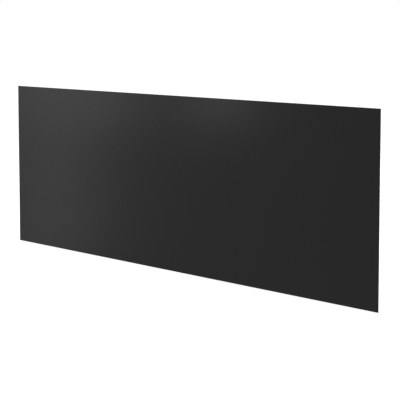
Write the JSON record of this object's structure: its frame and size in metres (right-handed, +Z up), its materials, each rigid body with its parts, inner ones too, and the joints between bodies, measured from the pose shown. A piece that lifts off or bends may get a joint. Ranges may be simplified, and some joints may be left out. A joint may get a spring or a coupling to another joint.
{
  "type": "kick plate",
  "caption": "Flat rectangular door kick plate in satin black coated sheet metal, bevelled front edges, stuck on from behind by foam tape strips under peel-off liners.",
  "frame": {"origin": "middle of the plate's width and height, in the plane of the release liners' outer faces, which is the plane that meets the door", "axes": "+X along the plate's width, to the right as its face is seen; +Y into the door, so the face looks along -Y; +Z up along its height"},
  "size_m": [0.8636, 0.0025, 0.3048],
  "materials": {
    "coat_black": "satin",
    "foam_tape": "matte",
    "liner_film": "gloss"
  },
  "bodies": {
    "root": {"plate": "coat_black", "tape_top": "foam_tape", "tape_bottom": "foam_tape", "tape_left_end": "foam_tape", "tape_left_inner": "foam_tape", "tape_centre": "foam_tape", "tape_right_inner": "foam_tape", "tape_right_end": "foam_tape", "liner_top": "liner_film", "liner_bottom": "liner_film", "liner_left_end": "liner_film", "liner_left_inner": "liner_film", "liner_centre": "liner_film", "liner_right_inner": "liner_film", "liner_right_end": "liner_film"}
  },
  "joints": []
}
